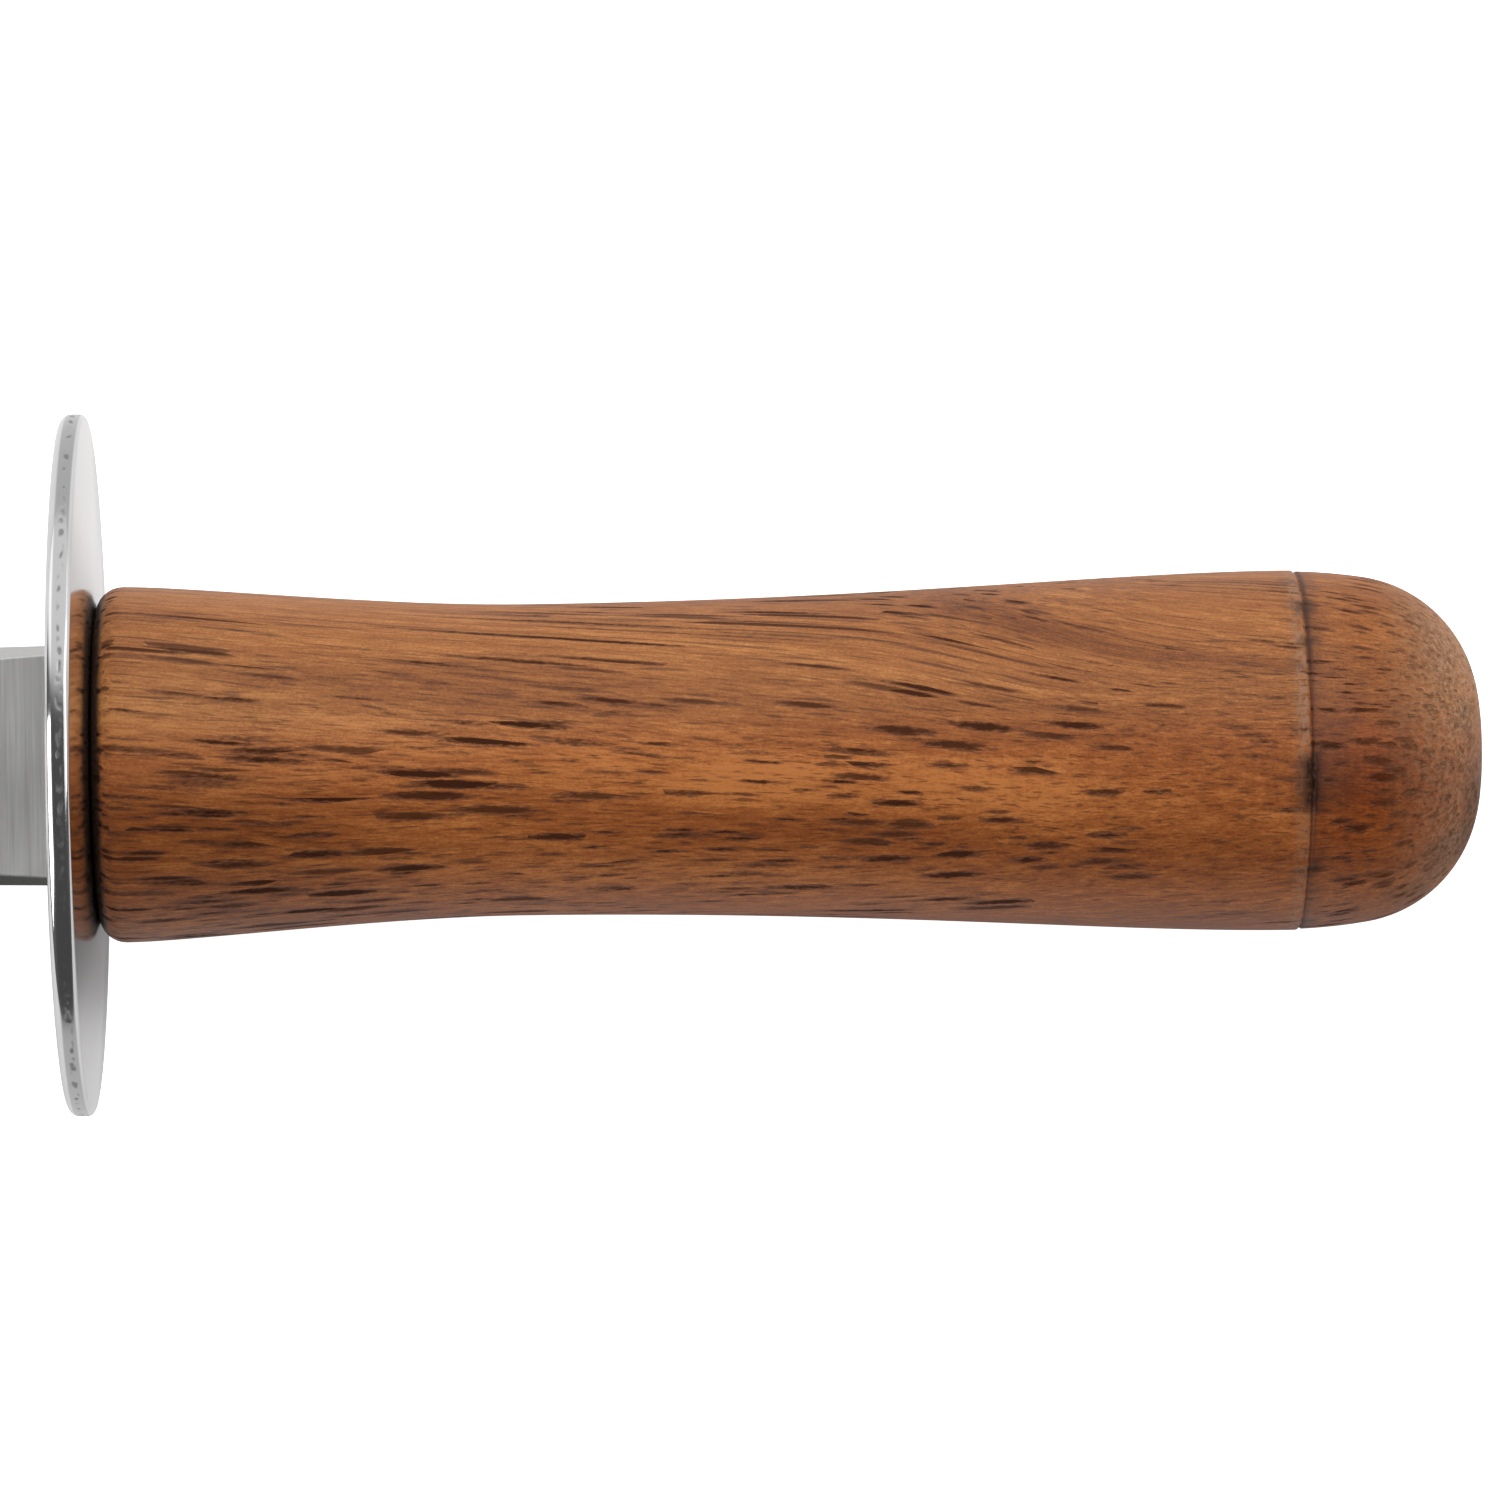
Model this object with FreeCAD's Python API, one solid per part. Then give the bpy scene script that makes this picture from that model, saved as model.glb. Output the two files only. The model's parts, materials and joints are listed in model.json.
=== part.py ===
import FreeCAD, Part
import math
import os

# Oyster knife: a lancet blade with its tang, a round guard, a turned wooden handle and the glue
# round the tang. Sizes are in millimetres. The knife is drawn along X, with the guard's rear seat
# at x = 0, the handle towards +X, the blade towards -X and the blade's flats facing up and down.
# Then it is laid on a table, where it rests on the guard's rim and on the swell of the butt.

# Handle, turned along X
HANDLE_LENGTH = 100.0
FRONT_RADIUS = 12.87
FRONT_ROUND = 1.9
FRONT_EASE = 4.7
WAIST_FROM_GUARD = 30.6
WAIST_RADIUS = 11.28
WAIST_EASE_FORWARD = 10.1
WAIST_EASE_BACK = 25.8
CROWN_FROM_BUTT = 14.2
CROWN_RADIUS = 13.06
CROWN_EASE = 12.7
BUTT_FLAT_RADIUS = 3.0
SHOULDER_DROP = 0.36
SCORE_BEHIND_CROWN = 1.0
SCORE_WIDTH = 0.5
SCORE_DEPTH = 0.25

# Guard, a dished round disc
GUARD_RADIUS = 25.4
GUARD_THICKNESS = 1.8
GUARD_DISH = 0.6
FRONT_RIM_ROUND = 0.75
REAR_RIM_ROUND = 0.45
SEAT_MARGIN = 0.4

# Blade, ground from flat bar
BLADE_LENGTH = 63.5
BLADE_WIDTH = 17.4
BLADE_THICKNESS = 2.6
FLANK_LENGTH = 36.0
FLANK_NARROWING = 1.2
TIP_RADIUS = 2.0
ROOT_EDGE_LAND = 1.7
TIP_EDGE_LAND = 0.4
ROOT_BEVEL = 0.65
FLANK_BEVEL = 2.5
TIP_BEVEL = 8.0
FLAT_TIP_RADIUS = 1.2
FLAT_FALL = 0.5

# Tang, slot, bore and glue
TANG_LENGTH = 60.0
TANG_WIDTH = 7.0
TANG_END_WIDTH = 5.0
SLOT_CLEARANCE = 0.1
GLUE_GAP = 0.35
BORE_PAST_TANG = 3.0
DRILL_POINT_ANGLE = 118.0

# Worked out from the sizes above
CROWN_X = HANDLE_LENGTH - CROWN_FROM_BUTT
SEAT_RADIUS = FRONT_RADIUS + SEAT_MARGIN
BORE_RADIUS = math.hypot(TANG_WIDTH, BLADE_THICKNESS) / 2 + GLUE_GAP
BORE_DEPTH = TANG_LENGTH + BORE_PAST_TANG
BLADE_ROOT_X = -GUARD_THICKNESS

# The butt is a dome arc, from its flat end, that meets a larger shoulder arc falling from the crown
DOME_RADIUS = CROWN_RADIUS - BUTT_FLAT_RADIUS - SHOULDER_DROP
DOME_X = HANDLE_LENGTH - DOME_RADIUS
CROWN_TO_DOME = DOME_X - CROWN_X
SHOULDER_RADIUS = CROWN_TO_DOME**2 / (2 * SHOULDER_DROP) + DOME_RADIUS + SHOULDER_DROP / 2

ORIGIN = FreeCAD.Vector(0, 0, 0)
ALONG = FreeCAD.Vector(1, 0, 0)
ACROSS = FreeCAD.Vector(0, 1, 0)
UP = FreeCAD.Vector(0, 0, 1)


def turned(edges):
    """Turn a closed outline, drawn as distance along X and radius along Y, round the X axis."""
    return Part.Face(Part.Wire(edges)).revolve(ORIGIN, ALONG, 360)


def at(distance, radius):
    return FreeCAD.Vector(distance, radius, 0)


def line(start, end):
    return Part.LineSegment(start, end).toShape()


def arc(start, middle, end):
    return Part.Arc(start, middle, end).toShape()


def circle_point(centre, radius, lean):
    """A point on a circle, turned by lean degrees from straight outwards towards +X."""
    angle = math.radians(lean)
    return centre + FreeCAD.Vector(radius * math.sin(angle), radius * math.cos(angle), 0)


def eased(start, start_ease, end, end_ease):
    """A curve that leaves one point and arrives at another running along the axis."""
    curve = Part.BezierCurve()
    curve.setPoles([start, start + ALONG * start_ease, end - ALONG * end_ease, end])
    return curve.toShape()


def shoulder_centre():
    return at(CROWN_X, CROWN_RADIUS - SHOULDER_RADIUS)


def shoulder_radius_at(distance):
    """The handle's radius on the shoulder arc behind the crown."""
    centre = shoulder_centre()
    return centre.y + math.sqrt(SHOULDER_RADIUS**2 - (distance - centre.x) ** 2)


def make_bore():
    """The space that the drill leaves in the handle, with its conical end."""
    point_depth = BORE_RADIUS / math.tan(math.radians(DRILL_POINT_ANGLE / 2))
    straight = Part.makeCylinder(BORE_RADIUS, BORE_DEPTH, ORIGIN, ALONG)
    point = Part.makeCone(BORE_RADIUS, 0, point_depth, at(BORE_DEPTH, 0), ALONG)
    return straight.fuse(point).removeSplitter()


def make_score():
    """The ring that the turner scored behind the crown, as the V-shaped ring to cut away."""
    middle = CROWN_X + SCORE_BEHIND_CROWN
    surface = shoulder_radius_at(middle)
    bottom = at(middle, surface - SCORE_DEPTH)
    left = at(middle - SCORE_WIDTH, surface + SCORE_DEPTH)
    right = at(middle + SCORE_WIDTH, surface + SCORE_DEPTH)
    return turned([line(bottom, left), line(left, right), line(right, bottom)])


def make_handle():
    front_face = at(0, FRONT_RADIUS - FRONT_ROUND)
    front_round = at(FRONT_ROUND, FRONT_RADIUS - FRONT_ROUND)
    front = at(FRONT_ROUND, FRONT_RADIUS)
    waist = at(WAIST_FROM_GUARD, WAIST_RADIUS)
    crown = at(CROWN_X, CROWN_RADIUS)
    dome = at(DOME_X, BUTT_FLAT_RADIUS)
    lean = math.degrees(math.atan2(CROWN_TO_DOME, SHOULDER_RADIUS - DOME_RADIUS - SHOULDER_DROP))
    shoulder_end = circle_point(dome, DOME_RADIUS, lean)
    butt_edge = at(HANDLE_LENGTH, BUTT_FLAT_RADIUS)
    butt = at(HANDLE_LENGTH, 0)
    body = turned([
        line(ORIGIN, front_face),
        arc(front_face, circle_point(front_round, FRONT_ROUND, -45), front),
        eased(front, FRONT_EASE, waist, WAIST_EASE_FORWARD),
        eased(waist, WAIST_EASE_BACK, crown, CROWN_EASE),
        arc(crown, circle_point(shoulder_centre(), SHOULDER_RADIUS, lean / 2), shoulder_end),
        arc(shoulder_end, circle_point(dome, DOME_RADIUS, (lean + 90) / 2), butt_edge),
        line(butt_edge, butt),
        line(butt, ORIGIN),
    ])
    return body.cut(make_score()).cut(make_bore())


def make_guard():
    """A disc with flat seats in the middle, dished towards the blade outside them."""
    forward = FreeCAD.Vector(-GUARD_THICKNESS, 0, 0)
    seat_edge = at(0, SEAT_RADIUS)
    rim = at(-GUARD_DISH, GUARD_RADIUS)
    disc = turned([
        line(ORIGIN, seat_edge),
        line(seat_edge, rim),
        line(rim, rim + forward),
        line(rim + forward, seat_edge + forward),
        line(seat_edge + forward, forward),
        line(forward, ORIGIN),
    ])
    for corner, radius in ((rim, REAR_RIM_ROUND), (rim + forward, FRONT_RIM_ROUND)):
        edges = [e for e in disc.Edges if any(v.Point.isEqual(corner, 0.001) for v in e.Vertexes)]
        disc = disc.makeFillet(radius, [e for e in edges if e.Closed])
    slot_width = TANG_WIDTH + 2 * SLOT_CLEARANCE
    slot_height = BLADE_THICKNESS + 2 * SLOT_CLEARANCE
    corner = FreeCAD.Vector(-2 * GUARD_THICKNESS, -slot_width / 2, -slot_height / 2)
    return disc.cut(Part.makeBox(3 * GUARD_THICKNESS, slot_width, slot_height, corner))


def lancet(root_half_width, flank_half_width, length, tip_radius):
    """A closed lancet outline: straight flanks, then two arcs that meet a small round tip.

    It lies flat, with its root across x = 0 and its tip at x = -length. Each point arc leaves its
    flank without a corner and touches the tip's circle, which fixes its radius.
    """
    narrowing = math.atan2(root_half_width - flank_half_width, FLANK_LENGTH)
    reach = length - tip_radius - FLANK_LENGTH
    rise = flank_half_width * math.cos(narrowing) - reach * math.sin(narrowing) - tip_radius
    point_radius = (reach**2 + flank_half_width**2 - tip_radius**2) / (2 * rise)
    outward = FreeCAD.Vector(-math.sin(narrowing), math.cos(narrowing), 0)
    root = at(0, root_half_width)
    flank_end = at(-FLANK_LENGTH, flank_half_width)
    tip_centre = at(tip_radius - length, 0)
    centre = flank_end - outward * point_radius
    touch = (tip_centre - centre).normalize()
    halfway = (outward + touch).normalize()
    tip_start = tip_centre + touch * tip_radius
    point_middle = centre + halfway * point_radius

    def other(point):
        return FreeCAD.Vector(point.x, -point.y, 0)

    return Part.Wire([
        line(root, flank_end),
        arc(flank_end, point_middle, tip_start),
        arc(tip_start, at(-length, 0), other(tip_start)),
        arc(other(tip_start), other(point_middle), other(flank_end)),
        line(other(flank_end), other(root)),
        line(other(root), root),
    ])


def falling(outline, root_height, fall):
    """Lift a flat outline to a height at the root, and let it fall over the length of the blade."""
    slope = math.atan2(fall, BLADE_LENGTH)
    outline.rotate(ORIGIN, ACROSS, -math.degrees(slope))
    outline.translate(UP * root_height)
    return outline


def make_tang():
    half_root = TANG_WIDTH / 2
    half_end = TANG_END_WIDTH / 2
    corners = [
        at(BLADE_ROOT_X, -half_root),
        at(0, -half_root),
        at(TANG_LENGTH, -half_end),
        at(TANG_LENGTH, half_end),
        at(0, half_root),
        at(BLADE_ROOT_X, half_root),
    ]
    outline = Part.makePolygon(corners + corners[:1])
    outline.translate(UP * (-BLADE_THICKNESS / 2))
    return Part.Face(outline).extrude(UP * BLADE_THICKNESS)


def make_blade():
    """Flat bar with four ground bevels, which widen from the guard to the point, and a tang."""
    half_width = BLADE_WIDTH / 2
    flank_half_width = half_width - FLANK_NARROWING / 2
    edge = falling(
        lancet(half_width, flank_half_width, BLADE_LENGTH, TIP_RADIUS),
        ROOT_EDGE_LAND / 2,
        (ROOT_EDGE_LAND - TIP_EDGE_LAND) / 2,
    )
    flat = falling(
        lancet(
            half_width - ROOT_BEVEL,
            flank_half_width - FLANK_BEVEL,
            BLADE_LENGTH - TIP_BEVEL,
            FLAT_TIP_RADIUS,
        ),
        BLADE_THICKNESS / 2,
        FLAT_FALL,
    )
    ground = Part.makeLoft([edge, flat], True, True)
    core = Part.makeLoft([edge, edge.mirror(ORIGIN, UP)], True, True)
    blade = core.fuse([ground, ground.mirror(ORIGIN, UP)])
    blade.translate(ALONG * BLADE_ROOT_X)
    return blade.fuse(make_tang()).removeSplitter()


def make_bedding():
    """The glue that fills the bore round the tang."""
    return make_bore().cut(make_tang())


def rest_angle():
    """How far the knife leans on a table, where guard rim and butt touch one straight line.

    In a section along the axis the rim's corner and the shoulder behind the crown are two circles,
    and the table is the line that touches both from outside.
    """
    rim = at(-GUARD_DISH - REAR_RIM_ROUND, GUARD_RADIUS - REAR_RIM_ROUND)
    apart = shoulder_centre() - rim
    touching = math.acos((SHOULDER_RADIUS - REAR_RIM_ROUND) / apart.Length)
    return math.degrees(touching - math.atan2(apart.x, -apart.y))


def table_placement(shapes):
    """Lean the knife at its rest angle, with the middle of its box over the origin on the table."""
    lean = FreeCAD.Placement(ORIGIN, FreeCAD.Rotation(ACROSS, rest_angle()))
    leaning = Part.makeCompound([shape.copy() for shape in shapes])
    leaning.Placement = lean
    box = leaning.optimalBoundingBox(False, False)
    lean.Base = FreeCAD.Vector(-box.Center.x, -box.Center.y, -box.ZMin)
    return lean


pieces = {
    "blade": make_blade(),
    "guard_disc": make_guard(),
    "handle": make_handle(),
    "tang_bedding": make_bedding(),
}
placement = table_placement(pieces.values())

os.makedirs("parts", exist_ok=True)
for node, shape in pieces.items():
    shape.Placement = placement.multiply(shape.Placement)
    shape.exportStep(os.path.join("parts", node + ".step"))
    print(node, "solids", len(shape.Solids), "valid", shape.isValid(), "mm3", round(shape.Volume, 1))

print("rest angle", round(rest_angle(), 3))
print("waist", placement.multVec(at(WAIST_FROM_GUARD, 0)))
print("blade root", placement.multVec(at(BLADE_ROOT_X, 0)))
print("axis to the butt", placement.Rotation.multVec(ALONG))
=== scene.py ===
# %% [markdown]
# # An oyster knife with a round guard
#
# The knife is four pieces: a lancet blade with its tang, a polished steel disc that guards the hand,
# a turned wooden handle, and the glue that beds the tang. This lesson models the three that show,
# gives each a finish built from nodes, and lights the knife like a small product shot. The packed
# CAD model is loaded first, because every piece here has to sit exactly where its solid sits.

import json
import math

import bmesh
import bpy
from mathutils import Matrix, Vector, geometry, noise


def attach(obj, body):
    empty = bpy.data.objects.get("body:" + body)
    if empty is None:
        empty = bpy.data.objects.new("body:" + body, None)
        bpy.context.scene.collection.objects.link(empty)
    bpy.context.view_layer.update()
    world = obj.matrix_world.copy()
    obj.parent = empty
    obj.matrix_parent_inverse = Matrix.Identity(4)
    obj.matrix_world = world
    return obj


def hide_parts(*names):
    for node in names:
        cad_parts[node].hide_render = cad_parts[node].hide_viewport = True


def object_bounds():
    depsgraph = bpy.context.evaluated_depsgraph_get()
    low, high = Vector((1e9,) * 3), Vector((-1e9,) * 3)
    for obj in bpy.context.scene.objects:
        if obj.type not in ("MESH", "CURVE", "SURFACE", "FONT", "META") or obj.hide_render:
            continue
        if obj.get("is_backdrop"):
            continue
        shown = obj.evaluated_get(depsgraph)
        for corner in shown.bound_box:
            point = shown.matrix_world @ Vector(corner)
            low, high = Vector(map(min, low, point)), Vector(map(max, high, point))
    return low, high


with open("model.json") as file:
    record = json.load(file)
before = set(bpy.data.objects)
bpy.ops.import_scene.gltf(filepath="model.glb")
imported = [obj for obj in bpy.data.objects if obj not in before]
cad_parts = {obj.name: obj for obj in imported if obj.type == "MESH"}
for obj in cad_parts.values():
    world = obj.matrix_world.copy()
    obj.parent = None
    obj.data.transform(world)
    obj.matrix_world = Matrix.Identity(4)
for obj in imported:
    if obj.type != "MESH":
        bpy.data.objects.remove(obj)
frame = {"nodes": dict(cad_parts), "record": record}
cad_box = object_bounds()
print("CAD box in metres", [tuple(round(v, 4) for v in corner) for corner in cad_box])

# %% [markdown]
# ## The knife's own frame
#
# On the table the knife leans, with the guard's rim and the butt touching the floor. Modelling a
# leaning handle directly would be awkward. It is easier to draw every piece along the X axis, in
# millimetres, with the guard's rear face at x = 0, and to move the finished mesh to the table with
# one matrix. The record's mounts say where the blade's root is and which way the handle points, so
# the matrix comes from them.

# %% The matrix from the knife's millimetres to the table's metres
MM = 0.001
GUARD_THICKNESS = 1.8

mounts = {mount["name"]: mount for mount in frame["record"]["mounts"]}
along = Vector(mounts["hand_grip"]["axis"]).normalized()
across = Vector((0, 1, 0))
upward = along.cross(across)
seat = Vector(mounts["blade_slot"]["pos_m"]) + along * GUARD_THICKNESS * MM
knife = Matrix((along, across, upward)).transposed().to_4x4()
knife.translation = seat
knife_mm = knife @ Matrix.Scale(MM, 4)
mm_knife = knife_mm.inverted()
lean = math.degrees(math.asin(-along.z))
print("the knife leans by", round(lean, 3), "degrees, its seat is at", [round(v, 5) for v in seat])

# %% [markdown]
# ## Drawing an outline with operators
#
# A turned piece starts as an outline on one side of the axis, as on a lathe template. Two small
# moves draw it: extruding the last point to a new place gives a straight step, and spinning the
# last point about a centre gives an arc. Spinning the whole outline about X then makes the piece.
# A spin slows down with the square of its steps, so only an eighth of the turn is spun, and that
# piece is copied and turned three times, which doubles it to the full round.

# %% Helpers for outlines and turned shapes
AXIS_X = Vector((1, 0, 0))
AXIS_Z = Vector((0, 0, 1))
NEAR = 0.001
MERGE_DISTANCE = 0.0001


def start_outline(point):
    """A new bmesh that holds the first point of an outline."""
    bm = bmesh.new()
    return bm, bm.verts.new(point)


def draw_to(bm, last, points):
    """Carry the outline on through more points and return its new last point."""
    for point in points:
        last = bmesh.ops.extrude_vert_indiv(bm, verts=[last])["verts"][0]
        last.co = point
    return last


def swing(bm, last, centre, degrees, steps):
    """Carry the outline on along an arc about a centre in the XY plane."""
    spun = bmesh.ops.spin(
        bm, geom=[last], cent=centre, axis=AXIS_Z, angle=math.radians(degrees), steps=steps
    )
    return next(part for part in spun["geom_last"] if isinstance(part, bmesh.types.BMVert))


def curve_points(start, start_pull, end_pull, end, steps):
    """Points on a curve with two pulled ends, without the first one."""
    return geometry.interpolate_bezier(start, start_pull, end_pull, end, steps + 1)[1:]


def turn_outline(bm, steps):
    """Turn an outline once round the X axis and close the seams and the poles."""
    outline = bm.verts[:] + bm.edges[:]
    angle = math.tau / 8
    bmesh.ops.spin(bm, geom=outline, axis=AXIS_X, angle=angle, steps=steps // 8)
    while angle < math.tau - NEAR:
        copied = bmesh.ops.duplicate(bm, geom=bm.verts[:] + bm.edges[:] + bm.faces[:])["geom"]
        turned = [part for part in copied if isinstance(part, bmesh.types.BMVert)]
        bmesh.ops.rotate(bm, matrix=Matrix.Rotation(angle, 3, AXIS_X), verts=turned)
        angle *= 2
    bmesh.ops.remove_doubles(bm, verts=bm.verts, dist=MERGE_DISTANCE)
    bmesh.ops.recalc_face_normals(bm, faces=bm.faces)


def finish_piece(bm, name, node, sharp_angle):
    """Put a finished mesh on the table, in place of its CAD node."""
    bm.transform(knife_mm)
    mesh = bpy.data.meshes.new(name)
    bm.to_mesh(mesh)
    bm.free()
    mesh.shade_smooth()
    mesh.set_sharp_from_angle(angle=math.radians(sharp_angle))
    piece = bpy.data.objects.new(name, mesh)
    bpy.context.scene.collection.objects.link(piece)
    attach(piece, "root")
    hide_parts(node)
    print(name, "has", len(mesh.vertices), "vertices and", len(mesh.polygons), "faces")
    return piece


# %% [markdown]
# ## The handle
#
# The real handle came off a lathe: a rounded front edge, a waist that the fingers close round, a
# swell, a scored ring and a domed butt. A cylinder with a lattice could be bent to this shape, but
# a spun outline is how the wood was cut, and it gives clean rings of faces. The blind bore for the
# tang is part of the same outline, so the mesh is one closed skin.

# %% The handle's sizes, in millimetres
HANDLE_LENGTH = 100.0
FRONT_RADIUS = 12.87
FRONT_ROUND = 1.9
FRONT_EASE = 4.7
WAIST_X = 30.6
WAIST_RADIUS = 11.28
WAIST_EASE_FORWARD = 10.1
WAIST_EASE_BACK = 25.8
CROWN_X = 85.8
CROWN_RADIUS = 13.06
CROWN_EASE = 12.7
BUTT_FLAT_RADIUS = 3.0
SHOULDER_DROP = 0.36
DOME_RADIUS = CROWN_RADIUS - BUTT_FLAT_RADIUS - SHOULDER_DROP
DOME_X = HANDLE_LENGTH - DOME_RADIUS
SHOULDER_RADIUS = (DOME_X - CROWN_X) ** 2 / (2 * SHOULDER_DROP) + DOME_RADIUS + SHOULDER_DROP / 2
BORE_RADIUS = 4.084
BORE_DEPTH = 63.0
BORE_POINT = 2.454
print("the dome's radius is", round(DOME_RADIUS, 2), "and the shoulder's", round(SHOULDER_RADIUS, 2))

# %% The scored ring
SCORE_X = 86.8
SCORE_HALF_WIDTH = 0.22
SCORE_DEPTH = 0.2
SCORE_STEP = 0.06


def shoulder_lean(distance):
    """The angle at which the shoulder arc has got to a distance along the knife."""
    return math.degrees(math.asin((distance - CROWN_X) / SHOULDER_RADIUS))


def shoulder_height(distance):
    """The handle's radius on the shoulder arc."""
    drop = SHOULDER_RADIUS - math.sqrt(SHOULDER_RADIUS**2 - (distance - CROWN_X) ** 2)
    return CROWN_RADIUS - drop


print("the ring is scored at a radius of", round(shoulder_height(SCORE_X), 2))

# %% The handle's outline, from the bottom of the bore round to the middle of the butt
AROUND_HANDLE = 288
FRONT_STEPS = 8
WAIST_STEPS = 24
CROWN_STEPS = 40
BEFORE_SCORE_STEPS = 3
SHOULDER_STEPS = 4
DOME_STEPS = 24

front_corner = Vector((FRONT_ROUND, FRONT_RADIUS - FRONT_ROUND, 0))
front = Vector((FRONT_ROUND, FRONT_RADIUS, 0))
waist = Vector((WAIST_X, WAIST_RADIUS, 0))
crown = Vector((CROWN_X, CROWN_RADIUS, 0))
shoulder_centre = Vector((CROWN_X, CROWN_RADIUS - SHOULDER_RADIUS, 0))
dome_centre = Vector((DOME_X, BUTT_FLAT_RADIUS, 0))
step_down = Vector((0, -SCORE_STEP, 0))
score_start = SCORE_X - SCORE_HALF_WIDTH
score_end = SCORE_X + SCORE_HALF_WIDTH
dome_lean = math.degrees(
    math.atan2(DOME_X - CROWN_X, SHOULDER_RADIUS - DOME_RADIUS - SHOULDER_DROP)
)

handle_mesh, last = start_outline((BORE_DEPTH + BORE_POINT, 0, 0))
last = draw_to(
    handle_mesh,
    last,
    [(BORE_DEPTH, BORE_RADIUS, 0), (0, BORE_RADIUS, 0), (0, FRONT_RADIUS - FRONT_ROUND, 0)],
)
last = swing(handle_mesh, last, front_corner, -90, FRONT_STEPS)
to_waist = curve_points(
    front, front + AXIS_X * FRONT_EASE, waist - AXIS_X * WAIST_EASE_FORWARD, waist, WAIST_STEPS
)
to_crown = curve_points(
    waist, waist + AXIS_X * WAIST_EASE_BACK, crown - AXIS_X * CROWN_EASE, crown, CROWN_STEPS
)
last = draw_to(handle_mesh, last, to_waist + to_crown)
to_score = -shoulder_lean(score_start)
last = swing(handle_mesh, last, shoulder_centre, to_score, BEFORE_SCORE_STEPS)
last = draw_to(
    handle_mesh,
    last,
    [
        (SCORE_X, shoulder_height(SCORE_X) - SCORE_DEPTH, 0),
        Vector((score_end, shoulder_height(score_end), 0)) + step_down,
    ],
)
to_dome = shoulder_lean(score_end) - dome_lean
last = swing(handle_mesh, last, shoulder_centre + step_down, to_dome, SHOULDER_STEPS)
last = swing(handle_mesh, last, dome_centre + step_down, dome_lean - 90, DOME_STEPS)
last = draw_to(handle_mesh, last, [(HANDLE_LENGTH, 0, 0)])
print("the outline has", len(handle_mesh.verts), "points")

# %% Spin it, and let the score wander a little, as a hand-held tool does
SCORE_WANDER = 0.16
SCORE_REACH = 0.9
WANDER_WAVES = 1.7
TEAR_WAVES = 21
TEAR_ALONG = 0.03
TEAR_SHARE = 0.35

turn_outline(handle_mesh, AROUND_HANDLE)
for vert in handle_mesh.verts:
    off_score = abs(vert.co.x - SCORE_X)
    if off_score < SCORE_REACH and vert.co.yz.length > BORE_RADIUS + 1:
        around = vert.co.yz.normalized()
        wander = noise.noise(Vector((around.x, around.y, 0)) * WANDER_WAVES)
        tear = noise.noise(Vector((around.x, around.y, vert.co.x * TEAR_ALONG)) * TEAR_WAVES)
        fade = 1 - off_score / SCORE_REACH
        vert.co.x += SCORE_WANDER * (wander + TEAR_SHARE * tear) * fade

handle = finish_piece(handle_mesh, "turned_handle", "handle", sharp_angle=25)

# %% [markdown]
# ## The guard
#
# The guard is a disc stamped from sheet and polished. It is flat where the handle and the blade's
# shoulders clamp it and slightly dished outside that. Its rim is what the light catches, so the
# rim's two corners get real rounded edges. A cylinder with a bevel would do for a flat disc, but the
# dish and the rounds come out exactly when the section is drawn and spun.

# %% The guard's sizes and the section of its rim
GUARD_RADIUS = 25.4
GUARD_DISH = 0.6
FRONT_RIM_ROUND = 0.75
REAR_RIM_ROUND = 0.45
SEAT_RADIUS = 13.27
SEAT_BLEND = 2.0
AROUND_GUARD = 1440

slope = math.atan2(GUARD_DISH, GUARD_RADIUS - SEAT_RADIUS)
rear_x = -GUARD_DISH - REAR_RIM_ROUND * (1 - math.sin(slope)) / math.cos(slope)
front_x = -GUARD_DISH - GUARD_THICKNESS + FRONT_RIM_ROUND * (1 + math.sin(slope)) / math.cos(slope)
rear_round = Vector((rear_x, GUARD_RADIUS - REAR_RIM_ROUND, 0))
front_round = Vector((front_x, GUARD_RADIUS - FRONT_RIM_ROUND, 0))
facing = Vector((math.cos(slope), math.sin(slope), 0))
outward = Vector((-math.sin(slope), math.cos(slope), 0))
thickness = AXIS_X * GUARD_THICKNESS
print("the rim's flat land is", round(rear_x - front_x, 2), "mm wide")

# %% The guard's outline and its spin
LAND_STEPS = 10
SEAT_BLEND_STEPS = 6
REAR_ROUND_STEPS = 8
FRONT_ROUND_STEPS = 12

seat_edge = Vector((0, SEAT_RADIUS, 0))
blend_start = seat_edge - Vector((0, SEAT_BLEND / 2, 0))
blend_end = seat_edge + outward * SEAT_BLEND
rear_end = rear_round + facing * REAR_RIM_ROUND
land = [
    Vector((rear_x + (front_x - rear_x) * step / LAND_STEPS, GUARD_RADIUS, 0))
    for step in range(1, LAND_STEPS + 1)
]
rear_blend = curve_points(blend_start, seat_edge, seat_edge, blend_end, SEAT_BLEND_STEPS)
front_blend = [point - thickness for point in reversed([blend_start] + rear_blend)]

guard_mesh, last = start_outline(blend_start)
last = draw_to(guard_mesh, last, rear_blend + [rear_end])
last = swing(guard_mesh, last, rear_round, 90 - math.degrees(slope), REAR_ROUND_STEPS)
last = draw_to(guard_mesh, last, land)
last = swing(guard_mesh, last, front_round, 90 + math.degrees(slope), FRONT_ROUND_STEPS)
draw_to(guard_mesh, last, front_blend)
turn_outline(guard_mesh, AROUND_GUARD)
print("the spun guard has", len(guard_mesh.faces), "faces")

# %% The tang's slot, cut through the middle
SLOT_WIDTH = 7.2
SLOT_HEIGHT = 2.8


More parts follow.
